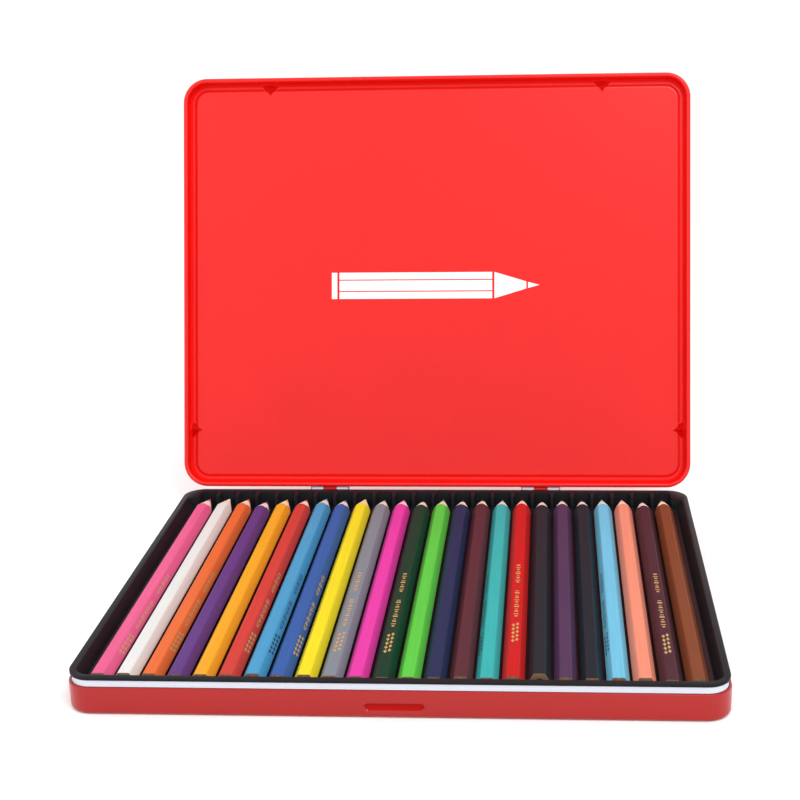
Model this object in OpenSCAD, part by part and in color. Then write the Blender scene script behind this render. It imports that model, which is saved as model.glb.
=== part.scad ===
// Flat hinged tin for a row of hexagonal coloured pencils.
// X runs along the row of pencils, Y runs from the front to the hinges, Z is up.
// The origin is the centre of the base's underside.

/* [Pencils] */
// Width of a pencil across two opposite flats
pencil_flats = 7; // [6.6:0.1:8]
// Length of a sharpened pencil
pencil_length = 173; // [150:1:180]
// Diameter of the coloured core
core_d = 3; // [2:0.1:4]
// Angle between the sharpened cone and the pencil's axis
cone_angle = 14; // [11:0.5:18]
// Diameter of the blunted point
point_d = 0.5; // [0.3:0.1:1]
// How far the circle that rounds the six long edges lies inside them
edge_round = 0.12; // [0.05:0.01:0.25]
// Free space between the edges of two neighbouring pencils
pencil_gap = 0.77; // [0.5:0.01:2]

/* [Tray] */
// Thickness of the formed plastic sheet
sheet_t = 0.5; // [0.3:0.05:0.6]
// Thickness of the tray's flange
flange_t = 0.6; // [0.4:0.1:1.2]
// Width of the flange's turned-down lip
lip_w = 0.3; // [0.2:0.05:0.3]
// How far the lip reaches below the flange
lip_drop = 0.4; // [0.1:0.1:1]
// Depth of the grooves below the top of the flange
groove_depth = 6.9; // [5.5:0.1:7.5]
// Height of the ridges between the grooves
ridge_h = 2.2; // [1:0.1:2.8]
// Width of the flat top of a ridge
ridge_w = 1.2; // [0.6:0.1:1.6]
// Free space between a pencil's lower flat and the foot of the ridge beside it
groove_play = 0.6; // [0.3:0.05:0.8]
// How far the two side walls of the tray lean outwards
side_slope = 2.5; // [0.5:0.1:3.5]
// Space between the last groove and the foot of the side wall
side_ledge = 2.25; // [0.4:0.05:3]
// Free space in front of the pencils' blunt ends
butt_play = 0.5; // [0.3:0.1:3]
// Free space behind the pencils' points
point_play = 2.1; // [1.5:0.1:5]
// Width of the flange behind the pockets that take the pencils' points
back_flange = 3; // [2.5:0.1:12]
// Length of these pockets, from the end of the ridges
pocket_l = 6.4; // [5:0.1:8]
// How much a pocket narrows towards its end on each side
pocket_taper = 0.5; // [0.2:0.1:1]
// Radius of a pocket's two corners
pocket_r = 1.2; // [0.6:0.1:2]

/* [Base] */
// Thickness of the tinplate
tin_t = 0.3; // [0.2:0.05:0.4]
// Height of the red wall up to the shoulder
wall_h = 10.2; // [9:0.1:18]
// Height of the white collar above the shoulder
collar_h = 2.9; // [2.5:0.1:5]
// How far the collar stands inside the wall
collar_inset = 1.3; // [1.3:0.1:3]
// Diameter of the collar's rolled top edge
collar_roll_d = 0.8; // [0.6:0.1:1.2]
// How far the tray's flange stays inside the wall in front and at the sides
flange_inset = 0.5; // [0.4:0.1:0.6]
// How far the tray's flange stays inside the back wall, where the lid's rim swings past it
back_inset = 0.9; // [0.8:0.05:0.9]
// Radius of the tin's four corners
corner_r = 9; // [8:0.5:14]
// Radius between the floor and the wall
foot_r = 1.6; // [0.8:0.1:2.5]
// Radius of the shoulder
shoulder_r = 0.5; // [0.35:0.05:0.9]
// Distance of the floor's stiffening groove from the wall
floor_groove_inset = 5; // [3.5:0.5:6]
// Width of the floor's stiffening groove
floor_groove_w = 3; // [2:0.1:5]
// Depth of the floor's stiffening groove
floor_groove_h = 0.6; // [0.3:0.1:1]

/* [Thumb recess] */
// Length of the recess in the front wall
recess_l = 20; // [10:1:40]
// Height of the recess
recess_h = 3.2; // [2:0.1:5]
// Depth of the recess
recess_depth = 1.2; // [0.5:0.1:1.5]
// Height of the recess's centre above the ground
recess_z = 4.6; // [4:0.1:6]

/* [Lid] */
// Opening angle at the stop
open_angle = 107; // [60:1:115]
// Free space between the lid's skirt and the tray's flange
lid_play = 0.4; // [0.3:0.05:0.6]
// Free space between the closed lid and the pencils
lid_headroom = 1.4; // [0.3:0.1:3]
// Gap between the rolled rim and the shoulder when the lid is closed
rim_gap = 0.2; // [0.1:0.05:0.5]
// Diameter of the lid's rolled rim
rim_d = 2; // [1:0.1:2]
// Radius between the skirt and the top
lid_r = 2.2; // [1.2:0.1:2.5]
// Width of the flat border inside that radius
border_w = 2; // [1:0.1:6]
// How far the panel is pressed below the border
panel_drop = 0.5; // [0.2:0.1:1]
// Width of the slope between the border and the panel
panel_slope = 1.4; // [0.8:0.1:3]
// Width of a pressed corner dimple
dimple_w = 7; // [4:0.5:10]
// Distance of the two front dimples from the side of the tin
dimple_side = 37.5; // [25:0.5:60]
// Distance of the two side dimples from the back of the tin
dimple_back = 24; // [18:0.5:60]

/* [Hinges] */
// Diameter of a hinge pin
pin_d = 1.4; // [1:0.1:1.6]
// Radial clearance round the pin
pin_play = 0.05; // [0.02:0.01:0.09]
// Width of the lid's knuckle
lid_knuckle_w = 6; // [4:0.5:12]
// Width of each of the base's two knuckles
base_knuckle_w = 5; // [3:0.5:10]
// Gap between two knuckles
knuckle_gap = 0.2; // [0.1:0.05:0.5]
// Distance of each hinge from the middle of the tin
hinge_x = 48; // [30:1:90]
// Distance of the hinge axis behind the wall
hinge_back = 2.8; // [2.7:0.1:3.2]
// Height of the hinge axis above the shoulder
hinge_rise = 2.6; // [2.4:0.1:2.8]
// Diameter of the flattened heads of a pin
pin_head_d = 1.9; // [1.8:0.1:2.2]
// Thickness of the heads of a pin
pin_head_t = 0.4; // [0.3:0.1:0.8]

/* [Hidden] */
$fn = 64;

// Colour of each pencil, how far it has slid back from the front of its groove,
// and how much of its length has been sharpened away
PENCILS = [
    ["#F0609A", 0.5, 0.4], ["#EDEEEA", 0.8, 0.0], ["#F0703A", 0.6, 0.2],
    ["#6E4494", 0.2, 2.6], ["#FDA828", 0.5, 0.4], ["#D9483F", 0.5, 0.4],
    ["#4EA0D6", 1.4, 0.0], ["#3F62B4", 0.4, 0.6], ["#FBE628", 1.0, 0.0],
    ["#8A8F9C", 0.4, 0.4], ["#EE42B0", 0.4, 0.2], ["#14502A", 0.0, 0.6],
    ["#62D44C", 0.2, 0.0], ["#3B3864", 0.2, 0.2], ["#6A3440", 0.9, 0.0],
    ["#3FB9B5", 0.3, 0.0], ["#D8282C", 1.2, 0.0], ["#2A262C", 3.6, 4.0],
    ["#5C3C66", 0.9, 0.0], ["#312D36", 0.7, 0.0], ["#76C8EA", 1.2, 0.0],
    ["#FA947C", 1.3, 0.0], ["#57303A", 0.3, 1.0], ["#8A4528", 1.2, 0.0]
];
pencil_count = len(PENCILS);

// Pencils
flat_r = pencil_flats / 2;
corner_radius = flat_r / cos(30);
pencil_r = corner_radius - edge_round;
core_r = core_d / 2;
glue_line = 0.02;
blunt_l = point_d / 2 / tan(cone_angle);
pitch = 2 * corner_radius + pencil_gap;
row_x = pitch * (pencil_count - 1) / 2;

// Heights
shoulder_z = wall_h;
collar_top = wall_h + collar_h;
flange_z = collar_top + flange_t;
groove_z = flange_z - groove_depth;
ridge_z = groove_z + ridge_h;
pencil_z = groove_z + flat_r;
pencil_top = pencil_z + flat_r;
lid_z = max(pencil_top, flange_z) + lid_headroom + panel_drop + tin_t;

// Plan sizes, from the pencils outwards
groove_foot = flat_r * tan(30) + groove_play;
groove_top = (pitch - ridge_w) / 2;
roll_play = 0.3;
web_gap = 0.15;
corner_ease = 0.1;
collar_room = collar_inset + collar_roll_d + roll_play;
flank_lean = (groove_top - groove_foot) / ridge_h;
side_lean = side_slope / (flange_z - ridge_z);
basin_x = row_x + groove_top + side_ledge;
basin_top = basin_x + side_slope;
basin_r = corner_r - collar_room - sheet_t;
tin_w = 2 * (basin_top + sheet_t + collar_room);
// the outer pencils' blunt ends stay clear of the tray's two rounded front corners
corner_dx = max(0, corner_r - tin_w / 2 + row_x + corner_radius);
corner_dy = sqrt(max(0, pow(basin_r - butt_play, 2) - pow(corner_dx, 2)));
front_room = max(collar_room + sheet_t + butt_play, corner_r - corner_dy);
tin_d = front_room + pencil_length + point_play + back_flange + back_inset;
butt_y = -tin_d / 2 + front_room;
tray_front = -tin_d / 2 + collar_room + sheet_t;
pocket_top = (pitch - 2 * sheet_t - web_gap) / 2;
pocket_end = tin_d / 2 - back_inset - back_flange;
ridge_end = pocket_end - pocket_l;
pocket_lap = 0.3;

// Lid and hinges
skirt_in = lid_play - flange_inset;
rim_r = rim_d / 2;
rim_z = shoulder_z + rim_gap + rim_r;
panel_inset = lid_r - skirt_in - tin_t + border_w + panel_slope;
hinge_y = tin_d / 2 + hinge_back;
hinge_z = shoulder_z + hinge_rise;
pin_r = pin_d / 2;
bore_r = pin_r + pin_play;
knuckle_r = bore_r + tin_t;
base_knuckle_x = (lid_knuckle_w + base_knuckle_w) / 2 + knuckle_gap;
hinge_w = lid_knuckle_w + 2 * base_knuckle_w + 2 * knuckle_gap;
tab_z = shoulder_z - shoulder_r - tin_t;
bend_r = 0.8;
over = 1;

function two(n) = str(n < 10 ? "0" : "", n);
function groove_x(i) = pitch * i - row_x;
function pencil_size(i) = pencil_length - PENCILS[i][2];
function pencil_node(i, piece) = str("pencil_", two(i + 1), "_", piece);

// ---------- shared forms ----------

module rounded(w, d, r) {
    square([w - 2 * r, d], center = true);
    square([w, d - 2 * r], center = true);
    for (x = [-1, 1], y = [-1, 1])
        translate([x * (w / 2 - r), y * (d / 2 - r)]) circle(r = r);
}

// Plan of the tin, drawn "out" mm outside its wall (inside it where out is negative)
module plan(out = 0) {
    rounded(tin_w + 2 * out, tin_d + 2 * out, corner_r + out);
}

// A section carried round the tin: its x is measured outwards from the wall, its y is the height
module around() {
    x = tin_w / 2 - corner_r;
    y = tin_d / 2 - corner_r;
    for (mx = [0, 1], my = [0, 1])
        mirror([mx, 0, 0]) mirror([0, my, 0])
            translate([x, y, 0]) rotate_extrude(angle = 90) translate([corner_r, 0]) children();
    for (m = [0, 1]) {
        mirror([m, 0, 0]) translate([x + corner_r, y, 0])
            rotate([90, 0, 0]) linear_extrude(2 * y) children();
        mirror([0, m, 0]) translate([-x, y + corner_r, 0])
            rotate([90, 0, 90]) linear_extrude(2 * x) children();
    }
}

// Quarter of a bent sheet with outer radius r, open towards the quadrant (qx, qy)
module bend(r, t, qx, qy) {
    intersection() {
        difference() {
            circle(r = r);
            circle(r = r - t);
        }
        translate([qx < 0 ? -r : 0, qy < 0 ? -r : 0]) square(r);
    }
}

// Rod along X, centred on the origin
module rod(r, w) {
    rotate([0, 90, 0]) cylinder(r = r, h = w, center = true);
}

module knuckle(w) {
    difference() {
        rod(knuckle_r, w);
        rod(bore_r, w + over);
    }
}

// ---------- base ----------

module wall_section() {
    translate([-foot_r, foot_r]) bend(foot_r, tin_t, 1, -1);
    translate([-tin_t, foot_r]) square([tin_t, shoulder_z - shoulder_r - foot_r]);
    translate([-shoulder_r, shoulder_z - shoulder_r]) bend(shoulder_r, tin_t, 1, 1);
    translate([-collar_inset, shoulder_z - tin_t]) square([collar_inset - shoulder_r, tin_t]);
}

module collar_section() {
    roll_r = collar_roll_d / 2;
    translate([-collar_inset - tin_t, shoulder_z - tin_t])
        square([tin_t, collar_h + tin_t - roll_r]);
    // the rolled edge is flattened on top, where the tray's flange lies on it
    intersection() {
        translate([-collar_inset - roll_r, collar_top - 0.9 * roll_r]) circle(r = roll_r);
        translate([-collar_inset - 2 * roll_r, shoulder_z]) square([2 * roll_r, collar_h]);
    }
}

// Arched section of the pressed groove in the floor
module floor_groove_section() {
    half = floor_groove_w / 2;
    arch_r = (half * half + floor_groove_h * floor_groove_h) / (2 * floor_groove_h);
    translate([-floor_groove_inset, 0]) intersection() {
        translate([0, floor_groove_h - arch_r]) difference() {
            circle(r = arch_r + tin_t);
            circle(r = arch_r);
        }
        translate([-floor_groove_w, 0]) square([2 * floor_groove_w, floor_groove_w]);
    }
}

// The flat sheet ends inside the thickness of the arch on both sides of it
module floor_sheet() {
    half = floor_groove_w / 2 + tin_t / 6;
    linear_extrude(tin_t) {
        difference() {
            plan(-foot_r);
            plan(half - floor_groove_inset);
        }
        plan(-floor_groove_inset - half);
    }
    around() floor_groove_section();
}

// Round-ended block of the thumb recess, grown by "grow" on all sides
module recess_block(grow, depth) {
    r = recess_h / 2;
    translate([0, -tin_d / 2 + depth, recess_z]) rotate([90, 0, 0])
        linear_extrude(depth + (grow > 0 ? 0 : over)) {
            square([recess_l - recess_h, recess_h + 2 * grow], center = true);
            for (x = [-1, 1]) translate([x * (recess_l / 2 - r), 0]) circle(r = r + grow);
        }
}

// Tabs that come out of the back wall and roll round the pin
module base_hinge() {
    reach = hinge_back + knuckle_r;
    for (s = [-1, 1]) translate([s * base_knuckle_x, 0, 0]) {
        translate([0, hinge_y, hinge_z]) knuckle(base_knuckle_w);
        translate([-base_knuckle_w / 2, 0, 0]) {
            translate([0, tin_d / 2 - tin_t, tab_z - tin_t])
                cube([base_knuckle_w, reach - bend_r + tin_t, tin_t]);
            translate([0, tin_d / 2 + reach - tin_t, tab_z - tin_t + bend_r])
                cube([base_knuckle_w, tin_t, hinge_z - tab_z + tin_t - bend_r]);
            translate([0, tin_d / 2 + reach - bend_r, tab_z - tin_t + bend_r]) rotate([90, 0, 90])
                linear_extrude(base_knuckle_w) bend(bend_r, tin_t, 1, -1);
        }
    }
}

module base_shell() {
    difference() {
        union() {
            color("#C23A38") around() wall_section();
            color("white") around() collar_section();
            color("#C23A38") floor_sheet();
            color("#C23A38") recess_block(tin_t, recess_depth + tin_t);
        }
        recess_block(0, recess_depth);
    }
    color("white") for (s = [-1, 1]) translate([s * hinge_x, 0, 0]) base_hinge();
}

// ---------- hinge pins ----------

module hinge_pin(side) {
    color("silver") translate([side * hinge_x, hinge_y, hinge_z]) {
        rod(pin_r, hinge_w + 2 * knuckle_gap);
        for (s = [-1, 1])
            translate([s * (hinge_w / 2 + knuckle_gap + pin_head_t / 2), 0, 0])
                rod(pin_head_d / 2, pin_head_t);
    }
}

// ---------- lid, drawn closed and then turned to its open stop ----------

module skirt_section() {
    translate([skirt_in + rim_r, rim_z]) circle(r = rim_r);
    translate([skirt_in, rim_z]) square([tin_t, lid_z - lid_r - rim_z]);
    translate([skirt_in + tin_t - lid_r, lid_z - lid_r]) bend(lid_r, tin_t, 1, 1);
}

module border_section() {
    edge = skirt_in + tin_t - lid_r;
    translate([edge - border_w, lid_z - tin_t]) square([border_w, tin_t]);
    translate([edge - border_w, lid_z]) polygon([
        [0, 0], [-panel_slope, -panel_drop],
        [-panel_slope, -panel_drop - tin_t], [0, -tin_t]
    ]);
}

// Triangular dimple pressed into the corner between skirt and border, at the origin and facing -X
module dimple() {
    reach = lid_r + border_w - tin_t;
    drop = 0.41 * reach;
    polyhedron(
        points = [[0, -dimple_w / 2, 0], [0, dimple_w / 2, 0], [-reach, 0, 0], [0, 0, -drop]],
        faces = [[0, 2, 1], [0, 1, 3], [1, 2, 3], [2, 0, 3]]
    );
}

// The four dimples, with their corner "out" mm outside the inner faces of the sheet
module dimples(out) {
    x = tin_w / 2 + skirt_in + out;
    y = tin_d / 2 + skirt_in + out;
    z = lid_z - tin_t + out;
    for (m = [0, 1]) mirror([m, 0, 0]) {
        translate([x, tin_d / 2 - dimple_back, z]) dimple();
        translate([tin_w / 2 - dimple_side, -y, z]) rotate(-90) dimple();
    }
}

module lid_hinge() {
    translate([0, hinge_y, hinge_z]) knuckle(lid_knuckle_w);
    tab_y = tin_d / 2 + skirt_in;
    translate([-lid_knuckle_w / 2, tab_y, hinge_z + bore_r])
        cube([lid_knuckle_w, hinge_y - tab_y, tin_t]);
}

module lid_closed() {
    difference() {
        union() {
            around() skirt_section();
            around() border_section();
            translate([0, 0, lid_z - panel_drop - tin_t]) linear_extrude(tin_t) plan(-panel_inset);
            dimples(0);
        }
        dimples(1.3 * tin_t);
    }
    for (s = [-1, 1]) translate([s * hinge_x, 0, 0]) lid_hinge();
}

module lid_shell() {
    color("#F23A36")
        translate([0, hinge_y, hinge_z]) rotate([-open_angle, 0, 0])
            translate([0, -hinge_y, -hinge_z]) lid_closed();
}

// ---------- tray ----------

// Section across the grooves, "grow" mm outside the space that the pencils lie in, up to height top
module tray_section(grow, top) {
    foot = groove_foot + grow * (sqrt(1 + pow(flank_lean, 2)) - flank_lean);
    peak = min(foot + groove_top - groove_foot, pitch / 2);
    wall_foot = basin_x + grow * (sqrt(1 + pow(side_lean, 2)) - side_lean);
    wall_top = wall_foot + side_lean * (top - ridge_z + grow);
    grooves = [for (i = [0 : pencil_count - 1]) let (x = groove_x(i)) each [
        [x - peak, ridge_z - grow], [x - foot, groove_z - grow],
        [x + foot, groove_z - grow], [x + peak, ridge_z - grow]
    ]];
    polygon(concat(
        [[-wall_top, top], [-wall_foot, ridge_z - grow]],
        grooves,
        [[wall_foot, ridge_z - grow], [wall_top, top]]
    ));
}

// Plan of the tray's flange, "in" mm inside its edge
module flange_plan(in) {
    w = tin_w - 2 * flange_inset - 2 * in;
    d = tin_d - flange_inset - back_inset - 2 * in;
    translate([0, (flange_inset - back_inset) / 2]) rounded(w, d, corner_r - flange_inset - in);
}

// Upright block with the plan of the basin, "grow" mm outside its inner faces, up to height top
module basin_block(grow, top) {
    front = tray_front - grow;
    back = ridge_end + pocket_lap + grow;
    translate([0, (front + back) / 2, 0]) linear_extrude(top)
        rounded(2 * (basin_top + grow + corner_ease), back - front, basin_r + grow);
}

module along_y(from, to) {
    translate([0, to, 0]) rotate([90, 0, 0]) linear_extrude(to - from) children();
}

// Plan of the pocket behind a groove, "grow" mm outside its inner faces
module pocket_plan(grow) {
    lean = atan(pocket_taper / pocket_l);
    r = pocket_r + grow;
    y = pocket_end - pocket_r;
    x = pocket_top - (y - ridge_end) * tan(lean) - pocket_r / cos(lean);
    front = pocket_top + grow / cos(lean) + grow * tan(lean);
    polygon([
        [-front, ridge_end - grow], [front, ridge_end - grow],
        [x + r * cos(lean), y + r * sin(lean)], [x, y + r],
        [-x, y + r], [-x - r * cos(lean), y + r * sin(lean)]
    ]);
    for (m = [-1, 1]) translate([m * x, y]) circle(r = r);
}

module pockets(grow, bottom, top) {
    for (i = [0 : pencil_count - 1])
        translate([groove_x(i), 0, bottom]) linear_extrude(top - bottom) pocket_plan(grow);
}

module pencil_tray() {
    color("#2B2C2E") difference() {
        union() {
            translate([0, 0, collar_top]) linear_extrude(flange_t) flange_plan(0);
            translate([0, 0, collar_top - lip_drop]) linear_extrude(lip_drop) difference() {
                flange_plan(0);
                flange_plan(lip_w);
            }
            intersection() {
                along_y(tray_front - over, ridge_end + 2 * over) tray_section(sheet_t, collar_top);
                basin_block(sheet_t, collar_top);
            }
            pockets(sheet_t, groove_z - sheet_t, collar_top);
        }
        intersection() {
            along_y(tray_front - over, ridge_end + 2 * over) tray_section(0, flange_z + over);
            basin_block(0, flange_z + over);
        }
        pockets(0, groove_z, flange_z + over);
    }
}

// ---------- pencils ----------

// Lays a piece that is drawn standing on its blunt end into groove i
module in_groove(i) {
    translate([groove_x(i), butt_y + PENCILS[i][1], pencil_z]) rotate([-90, 0, 0]) children();
}

// Space inside the sharpened outline of a pencil of that length, as wide as r at most
module sharpened(r, length) {
    cone_l = (r - point_d / 2) / tan(cone_angle);
    cylinder(r = r, h = length - cone_l);
    translate([0, 0, length - cone_l]) cylinder(r1 = r, r2 = point_d / 2, h = cone_l);
}

module pencil_casing(i) {
    color(PENCILS[i][0]) in_groove(i) difference() {
        intersection() {
            linear_extrude(pencil_length) intersection() {
                circle(r = corner_radius, $fn = 6);
                circle(r = pencil_r);
            }
            sharpened(pencil_r + edge_round, pencil_size(i));
        }
        translate([0, 0, -over]) cylinder(r = core_r + glue_line, h = pencil_length + 2 * over);
    }
}

module pencil_core(i) {
    color(PENCILS[i][0]) in_groove(i) sharpened(core_r, pencil_size(i));
}

base_shell();
lid_shell();
pencil_tray();
hinge_pin(-1);  // hinge_pin_left
hinge_pin(1);  // hinge_pin_right
for (i = [0 : pencil_count - 1]) pencil_casing(i);
for (i = [0 : pencil_count - 1]) pencil_core(i);
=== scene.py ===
"""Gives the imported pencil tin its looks: lacquered tinplate, a formed tray and 24 pencils.

All shapes are worked out in millimetres in the tin's own frame: X along the row of pencils,
Y from the front to the hinges, Z up, and the origin under the centre of the base.
"""

import math

import bmesh
import bpy
from bpy.props import FloatProperty, FloatVectorProperty, PointerProperty
from mathutils import Euler, Matrix, Vector


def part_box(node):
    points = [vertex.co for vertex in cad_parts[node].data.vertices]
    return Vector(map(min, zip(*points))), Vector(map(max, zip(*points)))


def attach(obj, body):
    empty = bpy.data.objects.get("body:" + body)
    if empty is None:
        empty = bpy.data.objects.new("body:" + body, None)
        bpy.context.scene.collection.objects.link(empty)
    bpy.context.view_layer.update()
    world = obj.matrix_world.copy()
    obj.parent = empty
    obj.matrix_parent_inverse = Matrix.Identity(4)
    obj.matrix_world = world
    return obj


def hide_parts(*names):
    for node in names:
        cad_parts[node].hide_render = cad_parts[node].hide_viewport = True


bl_info = {
    "name": "Pencil Tin",
    "version": (1, 0, 0),
    "blender": (4, 5, 0),
    "location": "3D View > Sidebar > Pencil Tin",
    "description": "Hinged tin with a formed tray of coloured pencils",
    "category": "Object",
}

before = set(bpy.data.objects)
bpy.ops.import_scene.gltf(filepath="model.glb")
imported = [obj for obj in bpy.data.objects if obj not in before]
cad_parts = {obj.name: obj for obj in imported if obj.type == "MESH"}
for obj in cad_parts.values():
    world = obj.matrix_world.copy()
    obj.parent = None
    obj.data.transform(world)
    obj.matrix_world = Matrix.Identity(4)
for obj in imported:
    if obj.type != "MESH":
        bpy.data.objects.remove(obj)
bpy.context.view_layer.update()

MM = 0.001


def node_box(node):
    """Lowest and highest corner of a CAD node, in millimetres."""
    low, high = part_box(node)
    return low / MM, high / MM


BASE_LOW, BASE_HIGH = node_box("base_shell")
PIN_LOW, PIN_HIGH = node_box("hinge_pin_left")
TIN_W = 2 * BASE_HIGH.x
TIN_D = -2 * BASE_LOW.y
HINGE_Y = (PIN_LOW.y + PIN_HIGH.y) / 2
HINGE_Z = (PIN_LOW.z + PIN_HIGH.z) / 2
HINGE_X = -(PIN_LOW.x + PIN_HIGH.x) / 2

# Slot name, colour of the lacquer and of the core, and the foil stamp:
# the facet that it is on, its colour and how many millimetres it starts from the blunt end
PENCILS = [
    ("pink", "#D25984", "#F0609A", ("right", "gold", 17)),
    ("white", "#CFD0CE", "#F2F2EE", None),
    ("orange", "#D06435", "#F0703A", ("right", "gold", 19)),
    ("purple", "#5A3976", "#6E4494", None),
    ("yolk_yellow", "#D99929", "#FDA828", None),
    ("coral_red", "#BC3F38", "#D9483F", ("right", "gold", 19)),
    ("light_blue", "#458FB8", "#4EA0D6", ("right", "dark", 17)),
    ("blue", "#325998", "#3F62B4", ("right", "gold", 17)),
    ("yellow", "#D9C929", "#FBE628", None),
    ("grey", "#767D86", "#8A8F9C", ("top", "gold", 17)),
    ("magenta", "#CF3D98", "#EE42B0", None),
    ("dark_green", "#163A2C", "#14502A", ("top", "gold", 17)),
    ("light_green", "#55B744", "#62D44C", None),
    ("indigo", "#25304F", "#3B3864", None),
    ("burgundy", "#532E35", "#6A3440", None),
    ("teal", "#34A1A0", "#3FB9B5", ("left", "dark", 20)),
    ("red", "#B72323", "#D8282C", ("top", "gold", 25)),
    ("black", "#232A30", "#2A262C", None),
    ("dark_purple", "#4B3652", "#5C3C66", None),
    ("charcoal", "#1F2930", "#312D36", None),
    ("sky_blue", "#67AFCC", "#76C8EA", ("left", "dark", 20)),
    ("salmon", "#D6846D", "#FA947C", None),
    ("maroon", "#472B32", "#57303A", ("top", "gold", 18)),
    ("brown", "#764029", "#8A4528", None),
]


# ---------- colours and nodes ----------


def to_linear(hex_colour):
    """Turns an sRGB hex value into linear red, green and blue."""
    values = [int(hex_colour[i : i + 2], 16) / 255 for i in (1, 3, 5)]
    return tuple(v / 12.92 if v <= 0.04045 else ((v + 0.055) / 1.055) ** 2.4 for v in values)


def add_node(tree, kind, settings=None, links=None):
    """Adds a node, sets its properties or input values, and links its inputs."""
    node = tree.nodes.new(kind)
    for key, value in (settings or {}).items():
        if isinstance(key, int) or key in node.inputs:
            node.inputs[key].default_value = value
        else:
            setattr(node, key, value)
    for key, source in (links or {}).items():
        tree.links.new(source, node.inputs[key])
    return node


def new_material(name):
    """Returns a new material, its empty node tree and the coordinates of the piece that wears it."""
    material = bpy.data.materials.new(name)
    material.use_nodes = True
    tree = material.node_tree
    tree.nodes.clear()
    return material, tree, add_node(tree, "ShaderNodeTexCoord").outputs["Object"]


def finish_material(tree, settings, tint, gloss, relief=None):
    """Joins patterns in one shader: tint and gloss are (pattern, low, high), relief is (pattern, mm)."""
    pattern, low, high = tint
    colour = add_node(
        tree, "ShaderNodeMix", {"data_type": "RGBA", 6: low, 7: high}, {0: pattern.outputs[0]}
    )
    pattern, low, high = gloss
    roughness = add_node(tree, "ShaderNodeMapRange", {3: low, 4: high}, {0: pattern.outputs[0]})
    links = {"Base Color": colour.outputs[2], "Roughness": roughness.outputs[0]}
    if relief:
        pattern, height = relief
        size = {"Strength": 1.0, "Distance": height * MM}
        bump = add_node(tree, "ShaderNodeBump", size, {"Height": pattern.outputs[0]})
        links["Normal"] = bump.outputs[0]
    shader = add_node(tree, "ShaderNodeBsdfPrincipled", settings, links)
    add_node(tree, "ShaderNodeOutputMaterial", links={"Surface": shader.outputs[0]})


def fineness(size_mm):
    """Scale of a pattern whose features are about size_mm wide."""
    return 1 / (size_mm * MM)


def along_y(size_mm, length_mm):
    """Scale of a pattern with features size_mm wide that run length_mm along Y."""
    return (fineness(size_mm), fineness(length_mm), fineness(size_mm))


def tone(rgb, factor):
    """A linear colour made lighter or darker, as four values."""
    return (*[min(1.0, v * factor) for v in rgb[:3]], 1.0)


# ---------- materials ----------


def stoved_lacquer(name, colour, mirror=0.3):
    """Coloured stoving lacquer on tinplate: an even, hard gloss that dulls reflections a little."""
    material, tree, place = new_material(name)
    # the sheet's slow waves, about 30 mm apart, make the colour drift a little
    waves = add_node(tree, "ShaderNodeTexNoise", {"Scale": fineness(30)}, {"Vector": place})
    # patches of the coating 4 mm across differ in gloss
    patches = add_node(tree, "ShaderNodeTexNoise", {"Scale": fineness(4)}, {"Vector": place})
    # orange peel of 0.9 mm: real lacquer has 0.3 mm, which would not show at this distance
    peel = add_node(tree, "ShaderNodeTexNoise", {"Scale": fineness(0.9)}, {"Vector": place})
    finish_material(
        tree,
        {"IOR": 1.5, "Specular IOR Level": mirror, "Coat Weight": mirror / 2, "Coat Roughness": 0.12},
        tint=(waves, tone(colour, 0.95), tone(colour, 1.05)),
        gloss=(patches, 0.26, 0.36),
        relief=(peel, 0.0015),
    )
    return material


def white_lacquer(name, colour):
    """White inside lacquer on tinplate: pale, cool and less glossy than the colour outside."""
    material, tree, place = new_material(name)
    # the roller that lays it on leaves bands about 12 mm apart
    bands = add_node(tree, "ShaderNodeTexNoise", {"Scale": fineness(12)}, {"Vector": place})
    patches = add_node(tree, "ShaderNodeTexNoise", {"Scale": fineness(2)}, {"Vector": place})
    # orange peel of 0.9 mm, drawn three times as coarse as the real one
    peel = add_node(tree, "ShaderNodeTexNoise", {"Scale": fineness(0.9)}, {"Vector": place})
    finish_material(
        tree,
        {"IOR": 1.5, "Specular IOR Level": 0.3},
        tint=(bands, tone(colour, 0.96), tone(colour, 1.02)),
        gloss=(patches, 0.3, 0.45),
        relief=(peel, 0.001),
    )
    return material


def formed_polystyrene(name, colour):
    """Vacuum-formed high-impact polystyrene: satin near-black that hardly mirrors what is round it."""
    material, tree, place = new_material(name)
    # the sheet thins where it stretches, so its shade drifts over about 8 mm
    stretch = add_node(tree, "ShaderNodeTexNoise", {"Scale": fineness(8)}, {"Vector": place})
    # the skin of a formed sheet is faintly pebbled, about 0.5 mm apart
    pebbles = add_node(tree, "ShaderNodeTexNoise", {"Scale": fineness(0.5)}, {"Vector": place})
    finish_material(
        tree,
        {"IOR": 1.55, "Specular IOR Level": 0.07},
        tint=(stretch, tone(colour, 0.7), tone(colour, 1.3)),
        gloss=(pebbles, 0.36, 0.52),
        relief=(pebbles, 0.003),
    )
    return material


def drawn_steel(name, colour):
    """Drawn steel wire: grey metal with fine marks along its length."""
    material, tree, place = new_material(name)
    # the die's marks are 0.15 mm apart and some 4 mm long, along the pin
    along = add_node(
        tree,
        "ShaderNodeMapping",
        {"Scale": (fineness(4), fineness(0.15), fineness(0.15))},
        {"Vector": place},
    )
    marks = add_node(tree, "ShaderNodeTexNoise", {"Scale": 1.0}, {"Vector": along.outputs[0]})
    finish_material(
        tree,
        {"Metallic": 1.0},
        tint=(marks, tone(colour, 0.8), tone(colour, 1.1)),
        gloss=(marks, 0.2, 0.42),
        relief=(marks, 0.002),
    )
    return material


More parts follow.
